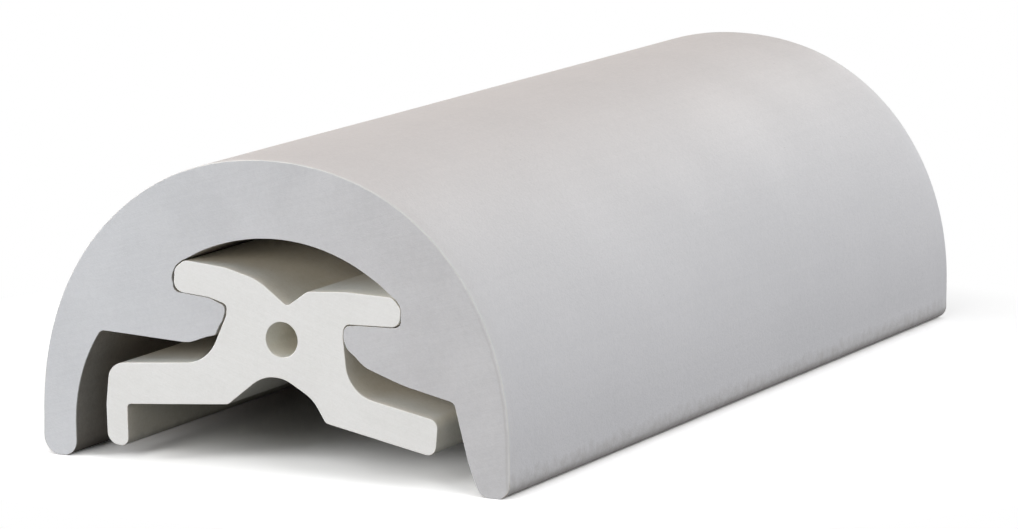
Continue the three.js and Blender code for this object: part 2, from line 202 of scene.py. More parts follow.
class Wiring:
    """Adds nodes to a tree and joins them, where each input is a socket or a plain value."""

    def __init__(self, tree):
        self.tree = tree

    def feed(self, socket, source):
        """Joins a socket to another one, or sets its value."""
        if isinstance(source, bpy.types.NodeSocket):
            self.tree.links.new(source, socket)
        else:
            socket.default_value = source

    def node(self, kind, inputs=None, **settings):
        """A new node with its settings, and its inputs by name."""
        made = self.tree.nodes.new(kind)
        for name, value in settings.items():
            setattr(made, name, value)
        for name, source in (inputs or {}).items():
            self.feed(made.inputs[name], source)
        return made

    def maths(self, operation, first, second=0.0, third=0.0):
        """The result of a Math node."""
        made = self.node("ShaderNodeMath", operation=operation)
        for socket, source in zip(made.inputs, (first, second, third)):
            self.feed(socket, source)
        return made.outputs[0]

    def compare(self, operation, first, second, whole=False):
        """A yes or no from two numbers."""
        kind = "INT" if whole else "FLOAT"
        made = self.node("FunctionNodeCompare", data_type=kind, operation=operation)
        places = COMPARED_WHOLE_NUMBERS if whole else COMPARED_NUMBERS
        for place, source in zip(places, (first, second)):
            self.feed(made.inputs[place], source)
        return made.outputs[0]

    def vector_maths(self, operation, first, second=None, scale=None):
        """The result of a Vector Math node."""
        made = self.node("ShaderNodeVectorMath", operation=operation)
        self.feed(made.inputs[0], first)
        if second is not None:
            self.feed(made.inputs[1], second)
        if scale is not None:
            self.feed(made.inputs["Scale"], scale)
        return made.outputs[0]

    def spread(self, value, low, high, out_low=0.0, out_high=1.0):
        """A value taken from one range to another, and held inside it."""
        limits = {"Value": value, "From Min": low, "From Max": high, "To Min": out_low, "To Max": out_high}
        return self.node("ShaderNodeMapRange", limits, clamp=True).outputs["Result"]

    def blend(self, share, first, second):
        """The first colour at a share of 0, and the second at 1."""
        made = self.node("ShaderNodeMix", {"Factor": share}, data_type="RGBA")
        for place, source in zip(MIXED_COLOURS, (first, second)):
            self.feed(made.inputs[place], source)
        return made.outputs[MIXED_COLOUR]

    def point(self, **parts):
        """A vector from its X, Y and Z."""
        return self.node("ShaderNodeCombineXYZ", parts).outputs[0]

    def parts(self, vector):
        """The X, Y and Z of a vector."""
        return self.node("ShaderNodeSeparateXYZ", {"Vector": vector}).outputs

    def noise(self, vector, scale=1.0, detail=2.0, roughness=0.5):
        """A soft noise of about 0 to 1."""
        values = {"Vector": vector, "Scale": scale, "Detail": detail, "Roughness": roughness}
        return self.node("ShaderNodeTexNoise", values).outputs[0]

    def keep(self, geometry, kind, name, source):
        """Geometry with a value kept on its points, and that value."""
        made = self.node("GeometryNodeCaptureAttribute", {"Geometry": geometry}, domain="POINT")
        made.capture_items.new(kind, name)
        self.feed(made.inputs[name], source)
        return made.outputs["Geometry"], made.outputs[name]


# Sections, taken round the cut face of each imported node


def cut_face_loops(node):
    """Each closed loop of (x, z) points round the front cut face of a node, longest loop first."""
    shell = bmesh.new()
    shell.from_mesh(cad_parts[node].data)
    bmesh.ops.remove_doubles(shell, verts=shell.verts, dist=WELD_DISTANCE)
    front = min(corner.co.y for corner in shell.verts)
    front_limit = front + WELD_DISTANCE
    on_front = {face for face in shell.faces if all(corner.co.y < front_limit for corner in face.verts)}
    rim = [edge for edge in shell.edges if sum(face in on_front for face in edge.link_faces) == 1]
    neighbours = {}
    for edge in rim:
        first, second = edge.verts
        neighbours.setdefault(first, []).append(second)
        neighbours.setdefault(second, []).append(first)
    loops = []
    unused = set(neighbours)
    while unused:
        start = min(unused, key=lambda corner: corner.index)
        walk = [start]
        unused.discard(start)
        step = next((corner for corner in neighbours[start] if corner in unused), None)
        while step is not None:
            walk.append(step)
            unused.discard(step)
            step = next((corner for corner in neighbours[step] if corner in unused), None)
        loops.append([Vector((corner.co.x, corner.co.z)) for corner in walk])
    shell.free()
    return sorted(loops, key=len, reverse=True)


def signed_area(loop):
    """The area inside a closed loop of (x, z) points, below zero where it runs clockwise."""
    return sum(start.cross(end) for start, end in zip(loop, loop[1:] + loop[:1])) / 2


def wound(loops):
    """The loops with the outer one clockwise and each hole the other way, so that walls face outwards."""
    turned = []
    for place, loop in enumerate(loops):
        clockwise = signed_area(loop) < 0
        turned.append(loop if clockwise == (place == 0) else loop[::-1])
    return turned


def divided(loop):
    """The loop with its long straight edges cut into short steps."""
    points = []
    for index, start in enumerate(loop):
        end = loop[(index + 1) % len(loop)]
        pieces = max(1, math.ceil((end - start).length / LONGEST_OUTLINE_STEP))
        points.extend(start.lerp(end, piece / pieces) for piece in range(pieces))
    return points


def nearest_on_loop(point, loop):
    """The point of a closed loop that lies nearest to a point."""
    best = None
    for index, start in enumerate(loop):
        along = loop[(index + 1) % len(loop)] - start
        share = max(0.0, min(1.0, (point - start).dot(along) / along.length_squared))
        place = start + along * share
        if best is None or (place - point).length < (best - point).length:
            best = place
    return best


def nearness(point, across, height, spread):
    """1 at a place given in millimetres, fading to 0 over its spread."""
    reach = (point - Vector((across, height)) * MILLIMETRE).length / (spread * MILLIMETRE)
    return math.exp(-reach * reach)


def gap_left_at(point):
    """The gap that stays between fender and support at a point of the slot."""
    gap = SEAT_GAP
    for across, height, spread, slack in SLACK_PLACES:
        gap += (slack * MILLIMETRE - SEAT_GAP) * nearness(point, across, height, spread)
    return gap


def closing_at(point):
    """How far the soft fender may be pressed towards the support at a point."""
    closing = SEAT_CLOSING
    for across, height, spread, further in SNUG_PLACES:
        closing += further * MILLIMETRE * nearness(point, across, height, spread)
    return closing


def smooth_step(share):
    """0 up to 0, 1 from 1 on, and an even curve between."""
    share = max(0.0, min(1.0, share))
    return share * share * (3.0 - 2.0 * share)


def pressed_against(loop, neighbour):
    """The soft loop pressed on to its neighbour where the two run close, and easing away beyond."""
    points = []
    for point in loop:
        nearest = nearest_on_loop(point, neighbour)
        gap = (nearest - point).length
        ease = smooth_step((SEAT_LAST_REACH - gap) / (SEAT_LAST_REACH - SEAT_FULL_REACH))
        close = max(0.0, min(gap - gap_left_at(point), closing_at(point))) * ease
        points.append(point + (nearest - point) * (close / gap))
    return points


def outside_shares(loop):
    """1 for each point on the open outside of the dome and 0 for the sheltered faces within."""
    shares = []
    for point in loop:
        dome = (abs(point.x) / DOME_HALF_WIDTH) ** DOME_POWER
        dome += (max(0.0, point.y - DOME_BASE_HEIGHT) / DOME_RISE) ** DOME_POWER
        shares.append(smooth_step((dome - DOME_SKIN_START) / (DOME_SKIN_FULL - DOME_SKIN_START)))
    return shares


def section_drawing(name, loops, shares):
    """A flat drawing of the section: X across, and the height drawn along -Y as the sweep reads it."""
    points = []
    edges = []
    for loop in loops:
        first = len(points)
        points.extend((point.x, -point.y, 0.0) for point in loop)
        edges.extend((first + index, first + (index + 1) % len(loop)) for index in range(len(loop)))
    drawing = bpy.data.meshes.new(name)
    drawing.from_pydata(points, edges, [])
    outside = drawing.attributes.new(OUTSIDE_SHARE, "FLOAT", "POINT")
    outside.data.foreach_set("value", [value for loop in shares for value in loop])
    piece = bpy.data.objects.new(name, drawing)
    bpy.context.scene.collection.objects.link(piece)
    return piece


# The sweep that turns a section drawing into a cut length of stock

STOCK_INPUTS = (
    ("Length", "NodeSocketFloat"),
    ("Stations", "NodeSocketInt"),
    ("Edge Radius", "NodeSocketFloat"),
    ("Edge Steps", "NodeSocketInt"),
    ("Crisp Share", "NodeSocketFloat"),
    ("Waviness", "NodeSocketFloat"),
    ("Wave Seed", "NodeSocketFloat"),
    ("Skin", "NodeSocketMaterial"),
    ("Cut", "NodeSocketMaterial"),
)
WAVES_PER_METRE = (60.0, 14.0, 60.0)
EDGE_UNEVENNESS_PER_METRE = 700.0
EDGE_UNEVENNESS = (0.75, 1.25)
SAWN_FACE_DEPTH = 0.0005 * MILLIMETRE
LAID_FLAT = (math.pi / 2, 0.0, 0.0)
STOOD_UP = (-math.pi / 2, 0.0, 0.0)


def stock_tree():
    """A tree that sweeps a flat section along Y and softens and closes both sawn ends."""
    tree = bpy.data.node_groups.new("cut_length_of_stock", "GeometryNodeTree")
    tree.interface.new_socket("Geometry", in_out="INPUT", socket_type="NodeSocketGeometry")
    for name, kind in STOCK_INPUTS:
        tree.interface.new_socket(name, in_out="INPUT", socket_type=kind)
    tree.interface.new_socket("Geometry", in_out="OUTPUT", socket_type="NodeSocketGeometry")
    wire = Wiring(tree)
    given = wire.node("NodeGroupInput").outputs
    half = wire.maths("MULTIPLY", given["Length"], 0.5)
    back_half = wire.maths("MULTIPLY", given["Length"], -0.5)

    # Stations along the rail: close together round each softened edge and even between them
    index = wire.node("GeometryNodeInputIndex").outputs[0]
    last = wire.maths("SUBTRACT", given["Stations"], 1.0)
    front_turn = wire.spread(index, 0.0, given["Edge Steps"], 0.0, math.pi / 2)
    from_back = wire.maths("SUBTRACT", last, index)
    back_turn = wire.spread(from_back, 0.0, given["Edge Steps"], 0.0, math.pi / 2)
    middle_end = wire.maths("SUBTRACT", last, given["Edge Steps"])
    middle = wire.spread(index, given["Edge Steps"], middle_end)
    front_rise = wire.maths("SUBTRACT", 1.0, wire.maths("COSINE", front_turn))
    back_rise = wire.maths("COSINE", back_turn)
    rises = wire.maths("ADD", front_rise, back_rise)
    straight = wire.maths("SUBTRACT", given["Length"], wire.maths("MULTIPLY", given["Edge Radius"], 2.0))
    place = wire.maths("MULTIPLY_ADD", middle, straight, back_half)
    place = wire.maths("MULTIPLY_ADD", rises, given["Edge Radius"], place)
    turns = wire.maths("ADD", wire.maths("SINE", front_turn), wire.maths("SINE", back_turn))
    inset = wire.maths("MULTIPLY", wire.maths("SUBTRACT", 2.0, turns), given["Edge Radius"])
    ends = {"Start": wire.point(Y=back_half), "End": wire.point(Y=half)}
    rail = wire.node("GeometryNodeCurvePrimitiveLine", ends)
    count = {"Curve": rail.outputs[0], "Count": given["Stations"]}
    stations = wire.node("GeometryNodeResampleCurve", count)
    spacing = {"Geometry": stations.outputs[0], "Position": wire.point(Y=place)}
    spaced = wire.node("GeometryNodeSetPosition", spacing)
    rail, kept_inset = wire.keep(spaced.outputs[0], "FLOAT", "Inset", inset)

    # The wall: the section swept along the rail, then moved inwards along its normals
    section = wire.node("GeometryNodeMeshToCurve", {"Mesh": given["Geometry"]})
    sweep = {"Curve": rail, "Profile Curve": section.outputs[0]}
    wall = wire.node("GeometryNodeCurveToMesh", sweep).outputs[0]
    position = wire.node("GeometryNodeInputPosition").outputs[0]
    stretched = wire.vector_maths("MULTIPLY", position, WAVES_PER_METRE)
    moved = wire.vector_maths("ADD", stretched, wire.point(X=given["Wave Seed"]))
    waves = wire.noise(moved, detail=1.0)
    wave_depth = wire.maths("MULTIPLY", wire.spread(waves, *NOISE_SPAN), given["Waviness"])
    ripples = wire.noise(position, EDGE_UNEVENNESS_PER_METRE)
    edge_share = wire.spread(ripples, *NOISE_SPAN, *EDGE_UNEVENNESS)
    outside = wire.node("GeometryNodeInputNamedAttribute", {"Name": OUTSIDE_SHARE}, data_type="FLOAT")
    softness = wire.spread(outside.outputs["Attribute"], 0.0, 1.0, given["Crisp Share"], 1.0)
    edge_share = wire.maths("MULTIPLY", edge_share, softness)
    depth = wire.maths("MULTIPLY_ADD", kept_inset, edge_share, wave_depth)
    normal = wire.node("GeometryNodeInputNormal").outputs[0]
    inwards = wire.vector_maths("SCALE", normal, scale=wire.maths("MULTIPLY", depth, -1.0))
    wall, shift = wire.keep(wall, "VECTOR", "Shift", inwards)
    wall = wire.node("GeometryNodeSetPosition", {"Geometry": wall, "Offset": shift}).outputs[0]
    smooth = wire.node("GeometryNodeSetShadeSmooth", {"Geometry": wall, "Shade Smooth": True})

    # The two sawn faces: each open rim laid flat, filled, and stood up again at its end
    parts = [smooth.outputs[0]]
    rim_edges = wire.node("GeometryNodeInputMeshEdgeNeighbors").outputs[0]
    along = wire.parts(position)["Y"]
    for side, end in (("LESS_THAN", back_half), ("GREATER_THAN", half)):
        on_rim = wire.node("FunctionNodeBooleanMath", operation="AND")
        wire.feed(on_rim.inputs[0], wire.compare("EQUAL", rim_edges, 1, whole=True))
        wire.feed(on_rim.inputs[1], wire.compare(side, along, 0.0))
        chosen = {"Geometry": wall, "Selection": on_rim.outputs[0]}
        rim = wire.node("GeometryNodeSeparateGeometry", chosen, domain="EDGE")
        flat = wire.node("GeometryNodeTransform", {"Geometry": rim.outputs[0], "Rotation": LAID_FLAT})
        loops = wire.node("GeometryNodeMeshToCurve", {"Mesh": flat.outputs[0]})
        filled = wire.node("GeometryNodeFillCurve", {"Curve": loops.outputs[0]})
        upright = wire.node("GeometryNodeTransform", {"Geometry": filled.outputs[0], "Rotation": STOOD_UP})
        wire.feed(upright.inputs["Translation"], wire.point(Y=end))
        face = {"Geometry": upright.outputs[0], "Shade Smooth": False}
        parts.append(wire.node("GeometryNodeSetShadeSmooth", face).outputs[0])
    joined = wire.node("GeometryNodeJoinGeometry")
    for part in parts:
        tree.links.new(part, joined.inputs[0])
    weld = {"Geometry": joined.outputs[0], "Distance": WELD_DISTANCE}
    welded = wire.node("GeometryNodeMergeByDistance", weld)
    real = wire.node("GeometryNodeRealizeInstances", {"Geometry": welded.outputs[0]})
    skin = {"Geometry": real.outputs[0], "Material": given["Skin"]}
    skinned = wire.node("GeometryNodeSetMaterial", skin)
    near_end = wire.maths("SUBTRACT", half, SAWN_FACE_DEPTH)
    sawn = wire.compare("GREATER_THAN", wire.maths("ABSOLUTE", along), near_end)
    cut = {"Geometry": skinned.outputs[0], "Selection": sawn, "Material": given["Cut"]}
    finished = wire.node("GeometryNodeSetMaterial", cut)
    wire.feed(wire.node("NodeGroupOutput").inputs[0], finished.outputs[0])
    return tree


def cut_stock(name, loops, shares, tree, values):
    """The finished piece: a section drawing swept by the tree and turned into a plain mesh."""
    drawing = section_drawing(name + "_drawing", loops, shares)
    sweep = drawing.modifiers.new("sweep", "NODES")
    sweep.node_group = tree
    for socket in tree.interface.items_tree:
        if socket.in_out == "INPUT" and socket.name in values:
            sweep[socket.identifier] = values[socket.name]
    evaluated = drawing.evaluated_get(bpy.context.evaluated_depsgraph_get())
    mesh = bpy.data.meshes.new_from_object(evaluated)
    shell = bmesh.new()
    shell.from_mesh(mesh)
    bmesh.ops.remove_doubles(shell, verts=shell.verts, dist=WELD_DISTANCE)
    bmesh.ops.recalc_face_normals(shell, faces=shell.faces)
    open_edges = sum(not edge.is_manifold for edge in shell.edges)
    if open_edges:
        raise RuntimeError(f"{name} has {open_edges} open edges")
    shell.to_mesh(mesh)
    shell.free()
    mesh.name = name
    piece = bpy.data.objects.new(name, mesh)
    bpy.context.scene.collection.objects.link(piece)
    bpy.data.objects.remove(drawing)
    return piece


# Effects that the materials share


def effect_group(name, inputs, output):
    """An empty shader group with its inputs as (name, kind, value), and its output."""
    tree = bpy.data.node_groups.new(name, "ShaderNodeTree")
    for label, kind, value in inputs:
        socket = tree.interface.new_socket(label, in_out="INPUT", socket_type=kind)
        if value is not None:
            socket.default_value = value
    tree.interface.new_socket(output, in_out="OUTPUT", socket_type="NodeSocketFloat")
    wire = Wiring(tree)
    return tree, wire, wire.node("NodeGroupInput").outputs, wire.node("NodeGroupOutput").inputs[0]


def drawn_lines_group():
    """Long faint lines that the die leaves along an extruded wall."""
    inputs = (
        ("Coordinates", "NodeSocketVector", None),
        ("Line Width", "NodeSocketFloat", 0.5 * MILLIMETRE),
        ("Line Length", "NodeSocketFloat", 60.0 * MILLIMETRE),
    )
    tree, wire, given, result = effect_group("drawn_lines", inputs, "Lines")
    across = wire.maths("DIVIDE", 1.0, given["Line Width"])
    along = wire.maths("DIVIDE", 1.0, given["Line Length"])
    stretch = wire.point(X=across, Y=along, Z=across)
    place = wire.vector_maths("MULTIPLY", given["Coordinates"], stretch)
    noise = wire.noise(place, detail=3.0, roughness=0.6)
    wire.feed(result, wire.spread(noise, *LINE_NOISE_SPAN))
    return tree


def saw_marks_group():
    """Fine slanted marks that a saw blade leaves across a cut face."""
    inputs = (
        ("Coordinates", "NodeSocketVector", None),
        ("Slant", "NodeSocketFloat", 0.3),
        ("Mark Width", "NodeSocketFloat", 0.3 * MILLIMETRE),
        ("Mark Length", "NodeSocketFloat", 9.0 * MILLIMETRE),
    )
    tree, wire, given, result = effect_group("saw_marks", inputs, "Marks")
    turned = wire.node("ShaderNodeVectorRotate", {"Vector": given["Coordinates"]}, rotation_type="Y_AXIS")
    wire.feed(turned.inputs["Angle"], given["Slant"])
    across = wire.maths("DIVIDE", 1.0, given["Mark Width"])
    along = wire.maths("DIVIDE", 1.0, given["Mark Length"])
    stretch = wire.point(X=along, Y=along, Z=across)
    place = wire.vector_maths("MULTIPLY", turned.outputs[0], stretch)
    noise = wire.noise(place, detail=4.0, roughness=0.62)
    wire.feed(result, wire.spread(noise, *NOISE_SPAN))
    return tree


def fine_grain_group():
    """Even small grain, as the matt skin of vinyl has."""
    inputs = (
        ("Coordinates", "NodeSocketVector", None),
        ("Grain Size", "NodeSocketFloat", 0.25 * MILLIMETRE),
    )
    tree, wire, given, result = effect_group("fine_grain", inputs, "Grain")
    scale = wire.maths("DIVIDE", 1.0, given["Grain Size"])
    noise = wire.noise(given["Coordinates"], scale, detail=3.0, roughness=0.65)
    wire.feed(result, wire.spread(noise, *NOISE_SPAN))
    return tree


def cloudy_tone_group():
    """Broad soft patches of lighter and darker stock."""
    inputs = (
        ("Coordinates", "NodeSocketVector", None),
        ("Patch Size", "NodeSocketFloat", 18.0 * MILLIMETRE),
    )
    tree, wire, given, result = effect_group("cloudy_tone", inputs, "Cloud")
    scale = wire.maths("DIVIDE", 1.0, given["Patch Size"])
    noise = wire.noise(given["Coordinates"], scale)
    wire.feed(result, wire.spread(noise, *NOISE_SPAN))
    return tree


def painted_rim_highlight_group():
    """A mask for a painted highlight, 1 at the sawn ends and fading away from them along the stock."""
    inputs = (
        ("Coordinates", "NodeSocketVector", None),
        ("Half Length", "NodeSocketFloat", STOCK_LENGTH / 2),
        ("Rim Width", "NodeSocketFloat", 0.6 * MILLIMETRE),
    )
    tree, wire, given, result = effect_group("painted_rim_highlight", inputs, "Rim")
    along = wire.parts(given["Coordinates"])["Y"]
    inside = wire.maths("SUBTRACT", given["Half Length"], wire.maths("ABSOLUTE", along))
    share = wire.maths("DIVIDE", inside, given["Rim Width"])
    wire.feed(result, wire.spread(share, 0.0, 1.0, 1.0, 0.0))
    return tree


def specks_group():
    """A few tiny dark specks, one in some of the cells that the surface is shared into."""
    inputs = (
        ("Coordinates", "NodeSocketVector", None),
        ("Cell Size", "NodeSocketFloat", 3.0 * MILLIMETRE),
        ("Speck Size", "NodeSocketFloat", 0.13 * MILLIMETRE),
        ("Share Of Cells", "NodeSocketFloat", 0.3),
    )
    tree, wire, given, result = effect_group("specks", inputs, "Specks")
    scale = wire.maths("DIVIDE", 1.0, given["Cell Size"])
    cells = wire.node("ShaderNodeTexVoronoi", {"Vector": given["Coordinates"], "Scale": scale})
    reach = wire.maths("DIVIDE", given["Speck Size"], given["Cell Size"])
    core = wire.maths("MULTIPLY", reach, SPECK_CORE)
    spot = wire.spread(cells.outputs["Distance"], core, reach, 1.0, 0.0)
    draw = wire.node("ShaderNodeSeparateColor", {"Color": cells.outputs["Color"]}).outputs[0]
    wire.feed(result, wire.maths("MULTIPLY", spot, wire.maths("LESS_THAN", draw, given["Share Of Cells"])))
    return tree


def painted_dome_edge_shade_group():
    """A broken band of painted shade on the sawn face just inside the dome's outline, stronger low down on
    the right.
    """
    inputs = (
        ("Coordinates", "NodeSocketVector", None),
        ("Band Start", "NodeSocketFloat", 0.957),
        ("Band Middle", "NodeSocketFloat", 0.972),
        ("Band End", "NodeSocketFloat", 0.985),
        ("Raggedness", "NodeSocketFloat", 0.02),
        ("Low Right Start", "NodeSocketFloat", -5.0 * MILLIMETRE),
        ("Low Right Full", "NodeSocketFloat", 20.0 * MILLIMETRE),
    )
    tree, wire, given, result = effect_group("painted_dome_edge_shade", inputs, "Band")
    place = wire.parts(given["Coordinates"])
    across = wire.maths("DIVIDE", wire.maths("ABSOLUTE", place["X"]), DOME_HALF_WIDTH)
    rise = wire.maths("MAXIMUM", wire.maths("SUBTRACT", place["Z"], DOME_BASE_HEIGHT), 0.0)
    rise = wire.maths("DIVIDE", rise, DOME_RISE)
    reach = wire.maths("POWER", across, DOME_POWER)
    reach = wire.maths("ADD", reach, wire.maths("POWER", rise, DOME_POWER))
    noise = wire.noise(given["Coordinates"], EDGE_UNEVENNESS_PER_METRE)
    shift = wire.maths("SUBTRACT", noise, NOISE_MIDDLE)
    ragged = wire.maths("MULTIPLY_ADD", shift, given["Raggedness"], reach)
    inner = wire.spread(ragged, given["Band Start"], given["Band Middle"])
    outer = wire.spread(ragged, given["Band Middle"], given["Band End"], 1.0, 0.0)
    right_over_height = wire.maths("SUBTRACT", place["X"], place["Z"])
    low_right = wire.spread(right_over_height, given["Low Right Start"], given["Low Right Full"])
    wire.feed(result, wire.maths("MULTIPLY", wire.maths("MULTIPLY", inner, outer), low_right))
    return tree


def painted_light_across_group():
    """A slow change from 0 on the left of the section to 1 on its right, which carries painted light and
    shade across it.
    """
    inputs = (
        ("Coordinates", "NodeSocketVector", None),
        ("Left End", "NodeSocketFloat", -20.0 * MILLIMETRE),
        ("Right End", "NodeSocketFloat", 20.0 * MILLIMETRE),
    )
    tree, wire, given, result = effect_group("painted_light_across", inputs, "Share")
    across = wire.parts(given["Coordinates"])["X"]
    wire.feed(result, wire.spread(across, given["Left End"], given["Right End"]))
    return tree


def painted_foot_shade_group():
    """Painted shade at the foot of a wall near the floor, mottled and ragged along its upper edge."""
    inputs = (
        ("Coordinates", "NodeSocketVector", None),
        ("Painted Shade Height", "NodeSocketFloat", 3.2 * MILLIMETRE),
        ("Raggedness", "NodeSocketFloat", 3.0 * MILLIMETRE),
        ("Patch Size", "NodeSocketFloat", 1.3 * MILLIMETRE),
    )
    tree, wire, given, result = effect_group("painted_foot_shade", inputs, "Painted Shade")
    height = wire.parts(given["Coordinates"])["Z"]
    scale = wire.maths("DIVIDE", 1.0, given["Patch Size"])
    noise = wire.noise(given["Coordinates"], scale, detail=5.0)
    shift = wire.maths("SUBTRACT", noise, NOISE_MIDDLE)
    ragged = wire.maths("MULTIPLY_ADD", shift, given["Raggedness"], height)
    wire.feed(result, wire.spread(ragged, 0.0, given["Painted Shade Height"], 1.0, 0.0))
    return tree


EFFECTS = {}


def build_effects():
    """Makes each shared effect once."""
    EFFECTS["drawn_lines"] = drawn_lines_group()
    EFFECTS["saw_marks"] = saw_marks_group()
    EFFECTS["fine_grain"] = fine_grain_group()
    EFFECTS["cloudy_tone"] = cloudy_tone_group()
    EFFECTS["painted_rim_highlight"] = painted_rim_highlight_group()
    EFFECTS["specks"] = specks_group()
    EFFECTS["painted_dome_edge_shade"] = painted_dome_edge_shade_group()
    EFFECTS["painted_light_across"] = painted_light_across_group()
    EFFECTS["painted_foot_shade"] = painted_foot_shade_group()


def blank_material(name):
    """A material with its wiring, its shader and its object coordinates."""
    material = bpy.data.materials.new(name)
    material.use_nodes = True
    material.node_tree.nodes.clear()
    wire = Wiring(material.node_tree)
    shader = wire.node("ShaderNodeBsdfPrincipled")
    output = wire.node("ShaderNodeOutputMaterial")
    wire.feed(output.inputs["Surface"], shader.outputs[0])
    coordinates = wire.node("ShaderNodeTexCoord").outputs["Object"]
    return material, wire, shader, coordinates


def effect(wire, name, coordinates, **values):
    """One placed copy of a shared effect, with its sizes given by input name."""
    placed = wire.node("ShaderNodeGroup", node_tree=EFFECTS[name])
    wire.feed(placed.inputs["Coordinates"], coordinates)
    for label, value in values.items():
        wire.feed(placed.inputs[label.replace("_", " ")], value)
    return placed.outputs[0]


def layered(wire, patterns, shares):
    """The named patterns of 0 to 1 added up by their shares."""
    total = 0.0
    for name, share in shares.items():
        total = wire.maths("MULTIPLY_ADD", patterns[name], share, total)
    return total


def painted_light_two_tone(wire, tone, across, left_painted_colours, right_painted_colours):
    """Dark to light by the tone, between one pair of colours on the left and another on the right, which
    paints light and shade across the section.
    """
    return wire.blend(across, wire.blend(tone, *left_painted_colours), wire.blend(tone, *right_painted_colours))


def add_roughness(wire, shader, tone, middle, span):
    """Rougher where the tone is dark and smoother where it is light."""
    wire.feed(shader.inputs["Roughness"], wire.spread(tone, 0.0, 1.0, middle + span, middle - span))


def add_bump(wire, shader, height, depth):
    """Roughens the surface by a height pattern of 0 to 1, over a depth in metres."""
    bump = wire.node("ShaderNodeBump", {"Height": height, "Distance": depth, "Strength": 1.0})
    wire.feed(shader.inputs["Normal"], bump.outputs[0])


def skin_material(name, open_colours, left_painted_colours, right_painted_colours, edge_highlight_colour, roughness, depth):
    """The extruded skin: broad tone, die lines, fine grain, painted shade and light on the sheltered
    walls, a painted highlight along the cuts and painted shade at the foot.
    """
    material, wire, shader, coordinates = blank_material(name)
    line = {"Line_Width": SKIN_LINE_WIDTH, "Line_Length": SKIN_LINE_LENGTH}
    patterns = {
        "cloud": effect(wire, "cloudy_tone", coordinates, Patch_Size=SKIN_PATCH_SIZE),
        "lines": effect(wire, "drawn_lines", coordinates, **line),
        "mottle": effect(wire, "fine_grain", coordinates, Grain_Size=SKIN_MOTTLE_SIZE),
        "grain": effect(wire, "fine_grain", coordinates, Grain_Size=SKIN_GRAIN_SIZE),
    }
    tone = wire.spread(layered(wire, patterns, SKIN_TONE), *SKIN_TONE_SPAN)
    outside = wire.node("ShaderNodeAttribute", attribute_name=OUTSIDE_SHARE).outputs["Fac"]
    # A left-to-right share for painted light and shade
    across = effect(wire, "painted_light_across", coordinates)
    # Painted shade on the sheltered left walls and painted light on the right ones
    sheltered_painted_light_and_shade = painted_light_two_tone(wire, tone, across, left_painted_colours, right_painted_colours)
    colour = wire.blend(outside, sheltered_painted_light_and_shade, wire.blend(tone, *open_colours))
    # A painted highlight along the sawn ends
    rim = effect(wire, "painted_rim_highlight", coordinates, Rim_Width=SKIN_HIGHLIGHT_RIM_WIDTH)
    colour = wire.blend(rim, colour, edge_highlight_colour)
    # Painted shade at the foot, near the floor
    foot_shade = effect(wire, "painted_foot_shade", coordinates)
    colour = wire.blend(wire.maths("MULTIPLY", foot_shade, FOOT_SHADE_STRENGTH), colour, FOOT_SHADE_COLOUR)
    specks = effect(wire, "specks", coordinates)
    colour = wire.blend(wire.maths("MULTIPLY", specks, SPECK_STRENGTH), colour, SPECK_COLOUR)
    wire.feed(shader.inputs["Base Color"], colour)
    add_roughness(wire, shader, tone, roughness, SKIN_ROUGHNESS_SPAN)
    add_bump(wire, shader, layered(wire, patterns, SKIN_HEIGHT), depth)
    return material


def cut_material(name, left_painted_colours, right_painted_colours, edge_shade_colour, roughness, depth, slant):
    """A sawn face: crossing fine saw marks over a cloudy matt ground, painted lighter on the left and
    darker on the right, with painted shade beside the dome's edge.
    """
    material, wire, shader, coordinates = blank_material(name)
    coarse = {"Slant": slant, "Mark_Width": CUT_MARK_WIDTH}
    fine = {"Slant": slant + SECOND_SLANT, "Mark_Width": CUT_FINE_MARK_WIDTH}
    patterns = {
        "cloud": effect(wire, "cloudy_tone", coordinates, Patch_Size=CUT_PATCH_SIZE),
        "marks": effect(wire, "saw_marks", coordinates, **coarse),
        "fine_marks": effect(wire, "saw_marks", coordinates, **fine),
        "mottle": effect(wire, "fine_grain", coordinates, Grain_Size=CUT_MOTTLE_SIZE),
        "grain": effect(wire, "fine_grain", coordinates, Grain_Size=CUT_GRAIN_SIZE),
    }
    tone = wire.spread(layered(wire, patterns, CUT_TONE), *CUT_TONE_SPAN)
    # The sawn face painted lighter on the left and darker on the right
    across = effect(wire, "painted_light_across", coordinates)
    colour = painted_light_two_tone(wire, tone, across, left_painted_colours, right_painted_colours)
    # Painted shade in a broken band beside the dome's edge
    painted_edge_shade = wire.maths("MULTIPLY", effect(wire, "painted_dome_edge_shade", coordinates), PAINTED_EDGE_SHADE_STRENGTH)
    wire.feed(shader.inputs["Base Color"], wire.blend(painted_edge_shade, colour, edge_shade_colour))
    add_roughness(wire, shader, tone, roughness, CUT_ROUGHNESS_SPAN)
    add_bump(wire, shader, layered(wire, patterns, CUT_HEIGHT), depth)
    return material


# Floor and light: the floor looks paler to the camera than it shines on the stock

FLOOR_RADIUS = 3.0
FLOOR_SIDES = 96
FLOOR_SEEN_LEVEL = 2.0
FLOOR_BOUNCE_LEVEL = 0.22
FLOOR_FADE_START = 0.074
FLOOR_FADE_END = 0.1
WORLD_STRENGTH = 0.24
BACKDROP_STRENGTH = 1.2
AIM_HEIGHT = 0.02
FAR_LIGHT = 1.4
NEAR_LIGHT = 0.5
WHITE = (1.0, 1.0, 1.0)
WARM_WHITE = (1.0, 0.9, 0.79)
AMBER = (1.0, 0.745, 0.565)
SKY_BLUE = (0.57, 0.75, 1.0)
COOL_WHITE = (0.89, 0.94, 1.0)
COOLER_WHITE = (0.89, 0.92, 1.0)


def grey(level):
    """A grey of one level, as a colour socket takes it."""
    return (level, level, level, 1.0)


